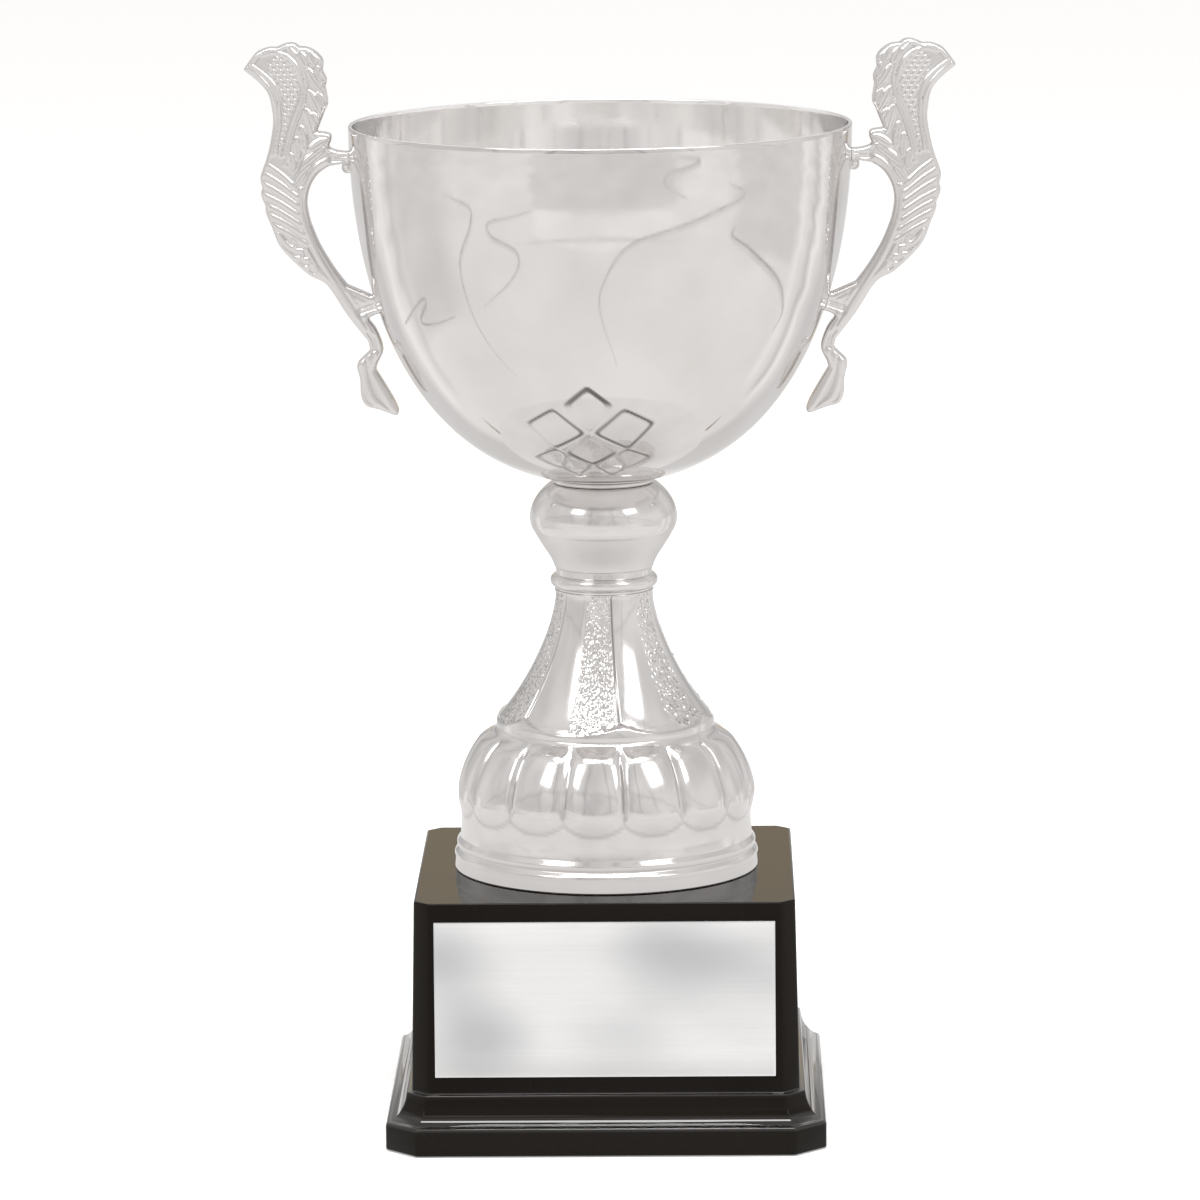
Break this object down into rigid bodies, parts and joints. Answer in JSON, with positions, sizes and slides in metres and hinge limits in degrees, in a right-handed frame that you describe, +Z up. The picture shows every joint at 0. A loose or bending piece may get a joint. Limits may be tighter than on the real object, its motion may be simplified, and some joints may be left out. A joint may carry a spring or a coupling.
{
  "type": "cup trophy",
  "caption": "Two-handled silver cup on a knopped pedestal, tied by a rod to a weighted black square plinth with a blank name plate.",
  "frame": {"origin": "on the cup's axis, on the table under the felt pad", "axes": "+Z up, -Y towards the name plate, +X towards the right-hand handle"},
  "size_m": [0.1414, 0.1002, 0.2168],
  "materials": {
    "bowl_silver": "bright plated",
    "cast_silver": "bright plated casting",
    "handle_silver": "plated casting with satin hollows",
    "plinth_black": "gloss",
    "plate_silver": "brushed along its length",
    "tape": "matt",
    "felt": "felt",
    "hardboard": "smooth hardboard",
    "weight_steel": "plain mill finish",
    "fixing_steel": "zinc plated"
  },
  "bodies": {
    "root": {"felt_pad": "felt", "plinth_cover": "hardboard", "plinth_shell": "plinth_black", "plinth_weight": "weight_steel", "name_plate": "plate_silver", "plate_tape": "tape", "pedestal": "cast_silver", "stem_bead": "cast_silver", "knop": "cast_silver", "seat_ring": "cast_silver", "bowl": "bowl_silver", "handle_left": "handle_silver", "handle_right": "handle_silver", "handle_screws": "fixing_steel", "tie_rod": "fixing_steel", "weight_washer": "fixing_steel", "spring_washer": "fixing_steel", "tie_nut": "fixing_steel", "bowl_washer": "fixing_steel", "cap_nut": "fixing_steel"}
  },
  "joints": []
}
